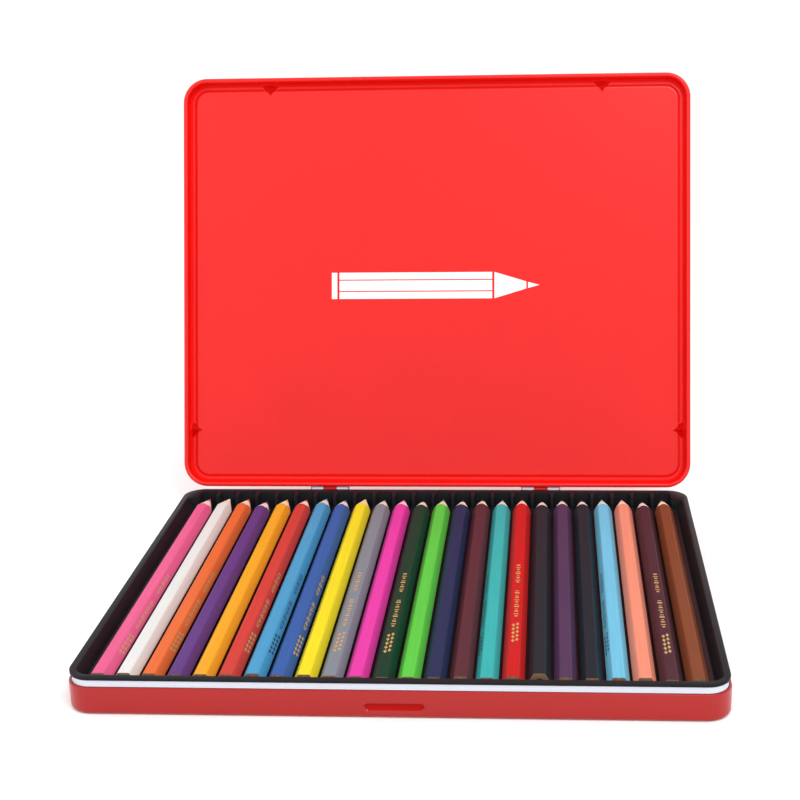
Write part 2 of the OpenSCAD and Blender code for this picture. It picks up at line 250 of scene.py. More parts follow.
def dipped_lacquer(name, colour):
    """Lacquer of a pencil, dipped in thin coats: a satin that follows the fibres of the wood."""
    material, tree, place = new_material(name)
    # the wood's fibres show through as shallow waves 0.8 mm apart and 24 mm long
    along = add_node(tree, "ShaderNodeMapping", {"Scale": along_y(0.8, 24)}, {"Vector": place})
    fibres = add_node(tree, "ShaderNodeTexNoise", {"Scale": 1.0}, {"Vector": along.outputs[0]})
    # the coats run together in drops about 3 mm across
    drops = add_node(tree, "ShaderNodeTexNoise", {"Scale": fineness(3)}, {"Vector": place})
    finish_material(
        tree,
        {"IOR": 1.45, "Specular IOR Level": 0.03},
        tint=(fibres, tone(colour, 0.88), tone(colour, 1.1)),
        gloss=(drops, 0.3, 0.42),
        relief=(fibres, 0.005),
    )
    return material


def sharpened_wood(name, light, dark):
    """Pale pencil wood, cut clean by the sharpener: matt, with straight grain along the pencil."""
    material, tree, place = new_material(name)
    # growth lines 0.35 mm apart, drawn out to about 9 mm along the pencil
    along = add_node(tree, "ShaderNodeMapping", {"Scale": along_y(0.35, 9)}, {"Vector": place})
    grain = add_node(
        tree, "ShaderNodeTexNoise", {"Scale": 1.0, "Detail": 4.0}, {"Vector": along.outputs[0]}
    )
    finish_material(
        tree,
        {"IOR": 1.5, "Specular IOR Level": 0.15},
        tint=(grain, tone(light, 1), tone(dark, 1)),
        gloss=(grain, 0.6, 0.8),
        relief=(grain, 0.02),
    )
    return material


def wax_core(name, colour):
    """Wax and pigment of the core: dense colour with a dull surface, scratched by the sharpener."""
    material, tree, place = new_material(name)
    # grains of pigment drawn 0.3 mm across, real ones are finer than the eye sees
    pigment = add_node(tree, "ShaderNodeTexNoise", {"Scale": fineness(0.3)}, {"Vector": place})
    # scratches 0.25 mm apart and 1.5 mm long
    along = add_node(tree, "ShaderNodeMapping", {"Scale": along_y(0.25, 1.5)}, {"Vector": place})
    scratches = add_node(tree, "ShaderNodeTexNoise", {"Scale": 1.0}, {"Vector": along.outputs[0]})
    finish_material(
        tree,
        {"IOR": 1.45, "Specular IOR Level": 0.15},
        tint=(pigment, tone(colour, 0.85), tone(colour, 1.1)),
        gloss=(pigment, 0.45, 0.65),
        relief=(scratches, 0.012),
    )
    return material


def pressed_on(name, colour, wear_mm, low, high):
    """Thin colour pressed on the lacquer, as hot-stamped pigment foil and screen ink are: opaque,
    satin, and a little uneven where it went on thin."""
    material, tree, place = new_material(name)
    wear = add_node(tree, "ShaderNodeTexNoise", {"Scale": fineness(wear_mm)}, {"Vector": place})
    finish_material(
        tree,
        {"IOR": 1.48, "Specular IOR Level": 0.2},
        tint=(wear, tone(colour, 0.8), tone(colour, 1.1)),
        gloss=(wear, low, high),
    )
    return material


def paper_board(name, colour):
    """Matt white board under the tin."""
    material, tree, place = new_material(name)
    # the felt side of the board is mottled, about 60 mm apart
    mottle = add_node(tree, "ShaderNodeTexNoise", {"Scale": fineness(60)}, {"Vector": place})
    finish_material(
        tree,
        {"IOR": 1.45, "Specular IOR Level": 0.05},
        tint=(mottle, tone(colour, 0.985), tone(colour, 1.0)),
        gloss=(mottle, 0.75, 0.9),
    )
    return material


# ---------- mesh code ----------


def make_piece(name, points, faces, materials, marks=None, sharp=35.0, turn=None):
    """Makes an object from points in millimetres, with one material index for each face."""
    if turn:
        points = [turn(point) for point in points]
    mesh = bpy.data.meshes.new(name)
    mesh.from_pydata([Vector(point) * MM for point in points], [], faces)
    for material in materials:
        mesh.materials.append(material)
    if marks:
        mesh.polygons.foreach_set("material_index", marks)
    mesh.polygons.foreach_set("use_smooth", [True] * len(faces))
    mesh.set_sharp_from_angle(angle=math.radians(sharp))
    mesh.validate()
    mesh.update()
    piece = bpy.data.objects.new(name, mesh)
    bpy.context.scene.collection.objects.link(piece)
    return piece


def steps(start, end, count):
    """Evenly spaced values from start to end."""
    return [start + (end - start) * i / count for i in range(count + 1)]


def arc(cx, cy, radius, start, end, count):
    """Points on an arc, with its angles in degrees."""
    return [
        (cx + radius * math.cos(math.radians(a)), cy + radius * math.sin(math.radians(a)))
        for a in steps(start, end, count)
    ]


def marked(points, material):
    """Gives points (out, z) of a section the material of the faces that start at them."""
    return [(out, z, material) for out, z in points]


def tin_columns(corner_r, front=(), side=(), back=()):
    """Places round the tin's wall: a point on it, the outward direction, and the side it is on."""
    half_x, half_y = TIN_W / 2 - corner_r, TIN_D / 2 - corner_r
    columns = []

    def corner(x, y, start):
        for angle in steps(start, start + 90, 14)[1:-1]:
            nx, ny = math.cos(math.radians(angle)), math.sin(math.radians(angle))
            columns.append((x + corner_r * nx, y + corner_r * ny, nx, ny, "corner"))

    def along(half, extra):
        # a place 0.4 mm from each end keeps the corner's shading off the straight side
        ends = (-half, 0.4 - half, half - 0.4, half)
        return sorted({*ends, *[v for v in extra if abs(v) < half]})

    columns += [(x, -TIN_D / 2, 0, -1, "front") for x in along(half_x, front)]
    corner(half_x, -half_y, -90)
    columns += [(TIN_W / 2, y, 1, 0, "right") for y in along(half_y, side)]
    corner(half_x, half_y, 0)
    columns += [(x, TIN_D / 2, 0, 1, "back") for x in reversed(along(half_x, back))]
    corner(-half_x, half_y, 90)
    columns += [(-TIN_W / 2, y, -1, 0, "left") for y in reversed(along(half_y, side))]
    corner(-half_x, -half_y, 180)
    return columns


def fine_places(middle, reach):
    """Places close together along a wall where something is pressed into it."""
    spacing = 0.35
    count = round(reach / spacing)
    return [middle + spacing * i for i in range(-count, count + 1)]


def loft(columns, profile, shape, pressed):
    """Carries a profile of (out, z, material) round the tin and closes both ends with a flat face.

    Where "shape" presses faces of material 0 in by more than 0.5 mm, they get the material "pressed";
    the callers make it a painted-shade copy of the lacquer.
    """
    points, faces, marks, deep = [], [], [], []
    for column in columns:
        x, y, nx, ny, _ = column
        for out, z, _ in profile:
            new_out, new_z = shape(column, out, z)
            points.append((x + new_out * nx, y + new_out * ny, new_z))
            deep.append(math.hypot(new_out - out, new_z - z) > 0.5)
    rows, count = len(profile), len(columns)
    for i in range(count):
        here, there = i * rows, (i + 1) % count * rows
        for j in range(rows - 1):
            face = (here + j, there + j, there + j + 1, here + j + 1)
            faces.append(face)
            mark = profile[j][2]
            marks.append(pressed if mark == 0 and all(deep[v] for v in face) else mark)
    faces.append([i * rows for i in reversed(range(count))])
    marks.append(profile[0][2])
    faces.append([i * rows + rows - 1 for i in range(count)])
    marks.append(profile[-1][2])
    return points, faces, marks


def strip(path, thickness, x0, x1, mark):
    """A bent strip of sheet between x0 and x1, along a path of (y, z) through its middle."""
    upper, lower = [], []
    for i, (y, z) in enumerate(path):
        before, after = path[max(0, i - 1)], path[min(len(path) - 1, i + 1)]
        dy, dz = after[0] - before[0], after[1] - before[1]
        half = thickness / 2 / math.hypot(dy, dz)
        upper.append((y - dz * half, z + dy * half))
        lower.append((y + dz * half, z - dy * half))
    ring, middle = upper + lower[::-1], path + path[::-1]
    count = len(ring)
    points, faces = [], []
    # both cut edges are eased over a quarter of the sheet's thickness
    ease = thickness * 0.25
    for x, grow in ((x0, 0.6), (x0 + ease, 1), (x1 - ease, 1), (x1, 0.6)):
        for (y, z), (my, mz) in zip(ring, middle):
            points.append((x, my + (y - my) * grow, mz + (z - mz) * grow))
    for k in range(3):
        for i in range(count):
            j = (i + 1) % count
            faces.append((k * count + j, k * count + i, (k + 1) * count + i, (k + 1) * count + j))
    for i in range(len(path) - 1):
        a, b, c, d = i, i + 1, count - 2 - i, count - 1 - i
        faces.append((a, b, c, d))
        faces.append((3 * count + d, 3 * count + c, 3 * count + b, 3 * count + a))
    return points, faces, [mark] * len(faces)


def flat_marks(outlines, place, low, high, mark):
    """Thin closed plates between two heights, from outlines of (across, along) that "place" lays."""
    points, faces, marks = [], [], []
    for outline in outlines:
        start, count = len(points), len(outline)
        points += [place(u, v, low) for u, v in outline] + [place(u, v, high) for u, v in outline]
        faces.append([start + i for i in reversed(range(count))])
        faces.append([start + count + i for i in range(count)])
        for i in range(count):
            j = (i + 1) % count
            faces.append((start + i, start + j, start + count + j, start + count + i))
        marks += [mark] * (count + 2)
    return points, faces, marks


def box_outline(u0, u1, v0, v1):
    """The outline of a bar."""
    return [(u0, v0), (u1, v0), (u1, v1), (u0, v1)]


def join_parts(*parts):
    """Joins lists of points, faces and material marks."""
    points, faces, marks = [], [], []
    for more_points, more_faces, more_marks in parts:
        start = len(points)
        points += more_points
        faces += [[v + start for v in face] for face in more_faces]
        marks += more_marks
    return points, faces, marks


def soft_step(value, width):
    """Nothing below -width, the value itself above width, and a soft knee between them."""
    if value <= -width:
        return 0.0
    if value >= width:
        return value
    return (value + width) ** 2 / (4 * width)


# ---------- settings ----------


class BaseSettings(bpy.types.PropertyGroup):
    """Sizes and colours of the base."""

    sheet: FloatProperty(
        name="Sheet", description="Thickness of the tinplate", default=0.3 * MM, unit="LENGTH"
    )
    corner: FloatProperty(
        name="Corner", description="Radius of the four corners", default=9 * MM, unit="LENGTH"
    )
    wall: FloatProperty(
        name="Wall", description="Height of the shoulder", default=10.2 * MM, unit="LENGTH"
    )
    collar: FloatProperty(
        name="Collar",
        description="Height of the collar above the shoulder",
        default=2.9 * MM,
        unit="LENGTH",
    )
    collar_in: FloatProperty(
        name="Collar inset",
        description="From the wall in to the collar",
        default=1.3 * MM,
        unit="LENGTH",
    )
    foot: FloatProperty(
        name="Foot", description="Radius between floor and wall", default=1.6 * MM, unit="LENGTH"
    )
    recess_l: FloatProperty(
        name="Recess length", description="Length of the thumb recess", default=20.2 * MM, unit="LENGTH"
    )
    recess_h: FloatProperty(
        name="Recess height", description="Height of the thumb recess", default=2.6 * MM, unit="LENGTH"
    )
    recess_d: FloatProperty(
        name="Recess depth", description="Depth of the thumb recess", default=1.2 * MM, unit="LENGTH"
    )
    recess_z: FloatProperty(
        name="Recess place",
        description="Height of the recess's middle above the ground",
        default=3.9 * MM,
        unit="LENGTH",
    )
    red: FloatVectorProperty(
        name="Outside", description="Lacquer outside", default=to_linear("#A11512"), subtype="COLOR"
    )
    white: FloatVectorProperty(
        name="Inside",
        description="Lacquer of the collar and the inside",
        default=to_linear("#DDE3EE"),
        subtype="COLOR",
    )


class LidSettings(bpy.types.PropertyGroup):
    """Sizes and colours of the lid."""

    sheet: FloatProperty(
        name="Sheet", description="Thickness of the tinplate", default=0.3 * MM, unit="LENGTH"
    )
    radius: FloatProperty(
        name="Edge", description="Radius round the top", default=1.55 * MM, unit="LENGTH"
    )
    border: FloatProperty(
        name="Border", description="Width of the flat border", default=1.05 * MM, unit="LENGTH"
    )
    slope: FloatProperty(
        name="Slope",
        description="Width of the slope from border to panel",
        default=1.2 * MM,
        unit="LENGTH",
    )
    drop: FloatProperty(
        name="Drop", description="Depth of the pressed panel", default=0.5 * MM, unit="LENGTH"
    )
    rim: FloatProperty(
        name="Rim", description="Diameter of the rolled rim", default=2 * MM, unit="LENGTH"
    )
    rim_gap: FloatProperty(
        name="Rim gap",
        description="From the shoulder up to the closed lid's rim",
        default=0.2 * MM,
        unit="LENGTH",
    )
    skirt: FloatProperty(
        name="Skirt",
        description="From the base's wall out to the skirt's inner face",
        default=-0.1 * MM,
        unit="LENGTH",
    )
    top: FloatProperty(
        name="Top",
        description="Height of the closed lid above the ground",
        default=16 * MM,
        unit="LENGTH",
    )
    dimple_x: FloatProperty(
        name="Front dimples",
        description="From the sides to the two front dimples",
        default=37.5 * MM,
        unit="LENGTH",
    )
    dimple_y: FloatProperty(
        name="Side dimples",
        description="From the back to the two side dimples",
        default=24 * MM,
        unit="LENGTH",
    )
    open_angle: FloatProperty(
        name="Opening",
        description="Angle from shut to the open stop",
        default=math.radians(107),
        unit="ROTATION",
    )
    red: FloatVectorProperty(
        name="Lacquer", description="Lacquer of the lid", default=to_linear("#DC110D"), subtype="COLOR"
    )
    ink: FloatVectorProperty(
        name="Ink", description="Printed ink", default=to_linear("#F6EFEF"), subtype="COLOR"
    )


class PencilSettings(bpy.types.PropertyGroup):
    """Sizes and colours that the pencils share."""

    flats: FloatProperty(
        name="Flats", description="Width across two flats", default=7 * MM, unit="LENGTH"
    )
    round_r: FloatProperty(
        name="Edges",
        description="Radius of the circle that rounds the long edges",
        default=3.92 * MM,
        unit="LENGTH",
    )
    bore: FloatProperty(
        name="Bore", description="Radius of the hole for the core", default=1.52 * MM, unit="LENGTH"
    )
    cone: FloatProperty(
        name="Cone",
        description="Half angle of the sharpened cone",
        default=math.radians(14),
        unit="ROTATION",
    )
    point: FloatProperty(
        name="Point", description="Diameter of the blunted point", default=0.5 * MM, unit="LENGTH"
    )
    wood: FloatVectorProperty(
        name="Wood", description="Light grain of the cone", default=to_linear("#EEE8DC"), subtype="COLOR"
    )
    grain: FloatVectorProperty(
        name="Grain", description="Dark grain of the cone", default=to_linear("#D6C4AC"), subtype="COLOR"
    )
    # partly painted shade: the butt colour is darker than bare end grain, partly the sawn end grain's
    # own darker colour, partly shade in the gap in front of the blunt ends
    sawn_and_shade: FloatVectorProperty(
        name="Butt",
        description="Sawn wood of the blunt end",
        default=to_linear("#96765A"),
        subtype="COLOR",
    )
    gold: FloatVectorProperty(
        name="Gold foil", description="Gold stamping foil", default=to_linear("#B8965E"), subtype="COLOR"
    )
    dark: FloatVectorProperty(
        name="Dark foil", description="Dark stamping foil", default=to_linear("#2E4658"), subtype="COLOR"
    )


class TraySettings(bpy.types.PropertyGroup):
    """Edges and colours of the tray and the pins."""

    soft: FloatProperty(
        name="Edges", description="Rounding of the formed sheet's edges", default=0.2 * MM, unit="LENGTH"
    )
    black: FloatVectorProperty(
        name="Tray", description="Plastic of the tray", default=to_linear("#1C1C1F"), subtype="COLOR"
    )
    steel: FloatVectorProperty(
        name="Pins", description="Steel of the hinge pins", default=to_linear("#B9BABD"), subtype="COLOR"
    )


class StageSettings(bpy.types.PropertyGroup):
    """Floor, lights and camera."""

    floor: FloatVectorProperty(
        name="Floor", description="Board under the tin", default=to_linear("#FAFAFA"), subtype="COLOR"
    )
    world: FloatProperty(
        name="Sky", description="Strength of the even light from all sides", default=1.15, min=0
    )
    key: FloatProperty(name="Key", description="Power of the key light", default=5.5, unit="POWER")
    fill: FloatProperty(name="Fill", description="Power of the fill light", default=1.0, unit="POWER")
    lens: FloatProperty(
        name="Lens", description="Focal length in mm", default=65.84, subtype="DISTANCE_CAMERA"
    )
    place: FloatVectorProperty(
        name="Place",
        description="Where the camera stands",
        default=(0.05253, -0.52794, 0.24734),
        subtype="TRANSLATION",
    )
    angles: FloatVectorProperty(
        name="Angles",
        description="How the camera is tilted, rolled and turned",
        default=(math.radians(72.709), math.radians(1.081), math.radians(3.378)),
        subtype="EULER",
    )
    shift: FloatVectorProperty(
        name="Shift",
        description="Shift of the frame, as a share of its width",
        default=(-0.075, 0.00447),
        size=2,
    )


class TinSettings(bpy.types.PropertyGroup):
    """Everything that the tin is made from."""

    base: PointerProperty(type=BaseSettings)
    lid: PointerProperty(type=LidSettings)
    pencils: PointerProperty(type=PencilSettings)
    tray: PointerProperty(type=TraySettings)
    stage: PointerProperty(type=StageSettings)


# ---------- hinges ----------

KNUCKLE_R = 0.9  # radius of the middle of the sheet that is rolled round a pin
BASE_STRAP_W = 5.0
BASE_STRAP_OFF = 5.7  # from the middle of a hinge to the middle of each of its two base straps
LID_STRAP_W = 6.0
SHOULDER_R = 0.5  # radius between the base's wall and its shoulder


def hinge_columns():
    """Places along the back wall at the edges of the base's hinge straps."""
    edges = (BASE_STRAP_OFF - BASE_STRAP_W / 2, BASE_STRAP_OFF + BASE_STRAP_W / 2)
    offsets = [way * edge for way in (-1, 1) for edge in edges]
    return sorted(hinge + offset for hinge in (-HINGE_X, HINGE_X) for offset in offsets)


def base_straps(shoulder, sheet):
    """The base's four straps: out under the shoulder, then up and round the pin."""
    z = shoulder - SHOULDER_R - 1.5 * sheet
    root = TIN_D / 2 - 0.2  # the strap starts in the wall's sheet
    bend_r = 0.65
    bend_y = HINGE_Y + KNUCKLE_R - bend_r
    wrap = 318  # degrees round the pin
    path = [(root, z), (bend_y, z)]
    path += arc(bend_y, z + bend_r, bend_r, -90, 0, 5)[1:]
    path += arc(HINGE_Y, HINGE_Z, KNUCKLE_R, 0, wrap, 26)
    middles = [hinge + off for hinge in (-HINGE_X, HINGE_X) for off in (-BASE_STRAP_OFF, BASE_STRAP_OFF)]
    return [strip(path, sheet, x - BASE_STRAP_W / 2, x + BASE_STRAP_W / 2, mark=1) for x in middles]


def lid_straps(skirt, sheet):
    """The lid's two straps: from the skirt over the pin and round it."""
    z = HINGE_Z + KNUCKLE_R
    root = TIN_D / 2 + skirt + 0.1  # the strap starts in the skirt's sheet
    wrap = 315  # degrees round the pin
    path = [(root, z), (HINGE_Y - 0.6, z)]
    path += arc(HINGE_Y, HINGE_Z, KNUCKLE_R, 90, 90 - wrap, 26)
    half = LID_STRAP_W / 2
    return [strip(path, sheet, x - half, x + half, mark=0) for x in (-HINGE_X, HINGE_X)]


# ---------- base ----------


def base_profile(sizes):
    """Section of the base from the middle of its underside round to the middle of its floor."""
    sheet, foot = sizes.sheet / MM, sizes.foot / MM
    wall, top = sizes.wall / MM, (sizes.wall + sizes.collar) / MM
    inset = sizes.collar_in / MM
    lacquer, white, shoulder = 0, 1, 2  # places in the list of materials; 'shoulder' is the red darkened as painted shade
    bend = 0.2  # radius between the shoulder and the collar
    roll, roll_z = 0.4, top - 0.36  # radius and height of the collar's rolled edge
    groove_in, groove_half, rise = 5.0, 1.5, 0.6  # the floor's stiffening groove, an arch in section
    arch = (groove_half**2 + rise**2) / (2 * rise)
    spread = math.degrees(math.asin(groove_half / arch))
    outer, inner, middle = -2.6, -7.2, -8.6  # beside the groove, and where the floor's middle starts
    wall_rows = steps(foot + 0.2, 8.2, 22)  # close together for the thumb recess

    profile = marked([(middle, 0), (inner, 0)], lacquer)
    profile += marked(arc(-groove_in, rise - arch, arch, 90 + spread, 90 - spread, 10), lacquer)
    profile += marked([(outer, 0)], lacquer)
    profile += marked(arc(-foot, foot, foot, -90, 0, 8), lacquer)
    profile += marked([(0, z) for z in (*wall_rows, 9.5)], lacquer)
    profile += marked(arc(-SHOULDER_R, wall - SHOULDER_R, SHOULDER_R, 0, 80, 5), lacquer)
    # the shoulder's flat top gets the red darkened as painted shade
    profile += marked([(-SHOULDER_R - 0.12, wall), (-inset + bend + 0.02, wall)], shoulder)
    profile += marked(arc(bend - inset, wall + bend, bend, -90, -180, 3), white)
    profile += marked([(-inset, wall + 0.4), (-inset, roll_z - 0.3)], white)
    bead = arc(-inset - roll, roll_z, roll, -10, 250, 16)
    profile += marked([(out, min(z, top)) for out, z in bead], white)
    profile += marked([(-inset - sheet, z) for z in (roll_z - 0.5, wall, wall - sheet)], white)
    profile += marked(arc(-SHOULDER_R, wall - SHOULDER_R, SHOULDER_R - sheet, 90, 0, 3), white)
    profile += marked([(-sheet, z) for z in (9.4, *reversed(wall_rows))], white)
    profile += marked(arc(-foot, foot, foot - sheet, 0, -90, 6), white)
    profile += marked([(outer - 0.1, sheet)], white)
    groove = arc(-groove_in, rise - arch, arch + sheet, 50, 130, 10)
    profile += marked([(out, z) for out, z in groove if z > sheet], white)
    profile += marked([(inner, sheet), (middle, sheet)], white)
    return profile


def thumb_recess(sizes):
    """Presses the thumb recess into the front wall: a pocket with round ends and soft edges."""
    radius, half = sizes.recess_h / MM / 2, sizes.recess_l / MM / 2
    middle, depth = sizes.recess_z / MM, sizes.recess_d / MM
    low, high = 1.9, 8.3  # the part of the wall that has close rows of points
    collar_side = -0.8  # the collar lies further in than this and stays as it is
    steep, knee = 1.4, 0.6  # how fast the pocket deepens from its outline, and how softly it starts

    def shape(column, out, z):
        x, _, _, _, side = column
        if side != "front" or out < collar_side or not low < z < high:
            return out, z
        inside = radius - math.hypot(max(0, abs(x) - (half - radius)), z - middle)
        return out - min(depth, steep * soft_step(inside + knee / 2, knee)), z

    return shape


class PENCILTIN_OT_base(bpy.types.Operator):
    """Builds the base: floor, wall, shoulder, collar with its rolled edge, and hinge straps"""

    bl_idname = "penciltin.base"
    bl_label = "Base"

    def execute(self, context):
        sizes = context.scene.pencil_tin.base
        recess = fine_places(0, sizes.recess_l / MM / 2 + 1.8)
        columns = tin_columns(sizes.corner / MM, front=recess, back=hinge_columns())
        # faces pressed deep into the thumb recess get material 3, the painted-shade copy of the red
        shell = loft(columns, base_profile(sizes), thumb_recess(sizes), pressed=3)
        points, faces, marks = join_parts(shell, *base_straps(sizes.wall / MM, sizes.sheet / MM))
        materials = [
            stoved_lacquer("lacquered_tinplate_base", sizes.red),
            white_lacquer("white_lacquered_tinplate", sizes.white),
            # painted shade: the shoulder lies in the narrow gap under the collar, where little light
            # comes, so its red is darkened to 0.35 times
            stoved_lacquer("lacquered_tinplate_shoulder_painted_shade", tone(sizes.red, 0.35)),
            # painted shade: this copy of the red mirrors almost nothing and is 1.15 times as strong,
            # which makes the recess look purer and darker, as its shade and its own red reflections
            # would
            stoved_lacquer("lacquered_tinplate_recess_painted_shade", tone(sizes.red, 1.15), 0.02),
        ]
        piece = make_piece("base_tin", points, faces, materials, marks)
        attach(piece, "base")
        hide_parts("base_shell")
        return {"FINISHED"}


# ---------- lid ----------

DIMPLE_REACH = 4.2  # how far the close places at a dimple go to each side


def lid_profile(sizes, wall):
    """Section of the closed lid from the middle of its inside round to the middle of its outside."""
    sheet, top, radius = sizes.sheet / MM, sizes.top / MM, sizes.radius / MM
    skirt, rim, drop = sizes.skirt / MM, sizes.rim / MM / 2, sizes.drop / MM
    rim_z = wall + sizes.rim_gap / MM + rim
    edge = skirt + sheet - radius
    border = edge - sizes.border / MM
    slope = sizes.slope / MM
    panel = border - slope
    skirt_rows = steps(12.6, 14.4, 6)  # close together for the dimples
    ease = 0.25  # how far the slope's soft ends reach over the panel and the border
    lacquer, skirt_painted_shade = 0, 2  # places in the list of materials; the skirt's inside gets the painted-shade copy of the lacquer

    def face(shift):
        """The pressed top's points from the panel outwards, "shift" below the outer face."""
        z = top - shift
        # rows on the panel for the dimples, closer together towards the slope
        points = [(panel - v, z - drop) for v in (4.8, 4.0, 3.3, 2.6, 1.9, 1.3, 0.8, 0.45)]
        for f in steps(0.1, 0.9, 8):
            out = panel - ease + (slope + 2 * ease) * f
            points.append((out, z - drop + drop * f * f * (3 - 2 * f)))
        return points + [(border + 0.5, z), (border + 0.9, z)]

    outside = face(0) + arc(edge, top - radius, radius, 90, 0, 12)
    outside += [(skirt + sheet, z) for z in (*reversed(skirt_rows), 12.45)]
    outside += arc(skirt + rim, rim_z, rim, 118, -180, 26)
    inside = [(skirt, z) for z in (11.7, 12.3, *skirt_rows)]
    inside += arc(edge, top - radius, radius - sheet, 0, 90, 12)
    profile = marked(outside, lacquer) + marked(inside, skirt_painted_shade)
    profile += marked(reversed(face(sheet)), lacquer)
    return profile[::-1]


def dimple_places(sizes):
    """Where the four dimples are along the front and the two sides."""
    x, y = TIN_W / 2 - sizes.dimple_x / MM, TIN_D / 2 - sizes.dimple_y / MM
    return {"front": (-x, x), "left": (y,), "right": (y,)}


def press_dimples(sizes):
    """Presses the three-cornered dimples into the corner between skirt and border."""
    skirt, ceiling = sizes.skirt / MM, (sizes.top - sizes.sheet) / MM
    # how far the pressing tool reaches over the border, down the skirt and to each side
    over, down, half = 8.0, 2.1, 4.6
    lowest, knee = 12.3, 0.12  # the dimples end above this height, and start this softly
    places = dimple_places(sizes)

    def shape(column, out, z):
        x, y, _, _, side = column
        along = x if side == "front" else y
        for place in places.get(side, ()):
            beside = abs(along - place)
            if beside > half + 1 or z < lowest:
                continue
            depth = 1 - ((skirt - out) / over + beside / half + (ceiling - z) / down)
            push = 0.5 * soft_step(depth, knee)
            out, z = out - push * over, z - push * down
        return out, z

    return shape


def lid_print(sizes):
    """A plain pencil in outline, printed in the middle of the lid's inside, 95 mm long."""
    face = (sizes.top - sizes.drop - sizes.sheet) / MM
    half, facet, line = 6.0, 2.6, 0.25  # half widths of the pencil, its middle facet and a bare line
    cone_tip, core_butt = 1.6, 1.4  # half widths where the cone ends and where the core starts
    forward, back, ink = 1.5, -0.02, 0.03  # place of the print, and how far the ink goes in and out
    cap, barrel, cone, core = (-47.5, -45), (-44, 26), (27, 41.5), (42.3, 47.5)
    outlines = [box_outline(*cap, -half, half)]
    for low, high in ((-half, -facet - line), (line - facet, facet - line), (facet + line, half)):
        outlines.append(box_outline(*barrel, low, high))
    outlines.append([(cone[0], -half), (cone[1], -cone_tip), (cone[1], cone_tip), (cone[0], half)])
    outlines.append([(core[0], -core_butt), (core[1], 0), (core[0], core_butt)])
    outlines = [outline[::-1] for outline in outlines]

    def lay(u, v, h):
        return (u, v + forward, face - h)

    return flat_marks(outlines, lay, back, ink, mark=1)


def open_lid(sizes):
    """Turns a point of the closed lid about the hinge pins to the open stop."""
    cosine, sine = math.cos(sizes.open_angle), math.sin(sizes.open_angle)

    def turn(point):
        y, z = point[1] - HINGE_Y, point[2] - HINGE_Z
        return (point[0], HINGE_Y + y * cosine + z * sine, HINGE_Z - y * sine + z * cosine)

    return turn


class PENCILTIN_OT_lid(bpy.types.Operator):
    """Builds the lid: rolled rim, skirt, border, pressed panel, dimples and hinge straps"""

    bl_idname = "penciltin.lid"
    bl_label = "Lid"

    def execute(self, context):
        sizes, base = context.scene.pencil_tin.lid, context.scene.pencil_tin.base
        places = dimple_places(sizes)
        front = [x for place in places["front"] for x in fine_places(place, DIMPLE_REACH)]
        side = [y for place in places["left"] for y in fine_places(place, DIMPLE_REACH)]
        columns = tin_columns(base.corner / MM, front=front, side=side, back=hinge_columns())
        # dimple faces pressed deeper than 0.5 mm get material 2, the painted-shade copy of the lacquer
        shell = loft(columns, lid_profile(sizes, base.wall / MM), press_dimples(sizes), pressed=2)
        straps = lid_straps(sizes.skirt / MM, sizes.sheet / MM)
        points, faces, marks = join_parts(shell, *straps, lid_print(sizes))
        materials = [
            stoved_lacquer("lacquered_tinplate_lid", sizes.red),
            # screen ink lies thin on the lacquer and is patchy over about 1.5 mm
            pressed_on("white_screen_ink", sizes.ink, 1.5, 0.4, 0.55),
            # painted shade: inside the skirt and in the dimples, a copy of the lacquer that mirrors
            # almost nothing and is 1.1 times as strong looks purer and darker, standing in for the shade
            # there and the red panel's reflection
            stoved_lacquer("lacquered_tinplate_skirt_painted_shade", tone(sizes.red, 1.1), 0.02),
        ]
        piece = make_piece("lid_tin", points, faces, materials, marks, turn=open_lid(sizes))
        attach(piece, "lid")
        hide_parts("lid_shell")
        return {"FINISHED"}


# ---------- tray and pins ----------


def soften_edges(node, width):
    """Copies a CAD node's mesh, joins its flat faces and rounds its edges inwards by width in metres."""
    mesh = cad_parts[node].data.copy()
    sheet = bmesh.new()
    sheet.from_mesh(mesh)
    bmesh.ops.remove_doubles(sheet, verts=sheet.verts, dist=0.001 * MM)
    bmesh.ops.dissolve_limit(
        sheet, angle_limit=math.radians(1.5), verts=sheet.verts, edges=sheet.edges
    )
    edges = [edge for edge in sheet.edges if edge.calc_face_angle(0) > math.radians(30)]
    bmesh.ops.bevel(
        sheet,
        geom=edges,
        offset=width,
        offset_type="OFFSET",
        segments=2,
        profile=0.5,
        affect="EDGES",
        clamp_overlap=True,
    )
    sheet.to_mesh(mesh)
    sheet.free()
    mesh.polygons.foreach_set("use_smooth", [True] * len(mesh.polygons))
    mesh.set_sharp_from_angle(angle=math.radians(50))
    return mesh


class PENCILTIN_OT_tray(bpy.types.Operator):
    """Builds the formed tray with soft edges, and gives the hinge pins their finish"""

    bl_idname = "penciltin.tray"
    bl_label = "Tray and pins"

    def execute(self, context):
        sizes = context.scene.pencil_tin.tray
        mesh = soften_edges("pencil_tray", sizes.soft)
        mesh.materials.clear()
        mesh.materials.append(formed_polystyrene("vacuum_formed_polystyrene", sizes.black))
        tray = bpy.data.objects.new("formed_tray", mesh)
        context.scene.collection.objects.link(tray)
        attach(tray, "tray")
        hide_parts("pencil_tray")
        steel = drawn_steel("drawn_steel_wire", sizes.steel)
        for node in ("hinge_pin_left", "hinge_pin_right"):
            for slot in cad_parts[node].material_slots:
                slot.material = steel
        return {"FINISHED"}


# ---------- pencils ----------


def hexagon(sizes):
    """Outline of a pencil's section as (angle, radius), starting at the edge on +X."""
    flat, round_r = sizes.flats / MM / 2, sizes.round_r / MM
    outline = []
    for facet in range(6):
        # degrees from the facet's middle, close together where the edge is rounded
        for a in (-28.4, -26.9, -25.6, -23, -18, -9, 0, 9, 18, 23, 25.6, 26.9, 28.4, 30):
            limit = flat / math.cos(math.radians(a))
            outline.append((math.radians(60 * facet + 30 + a), min(limit, round_r)))
    return outline


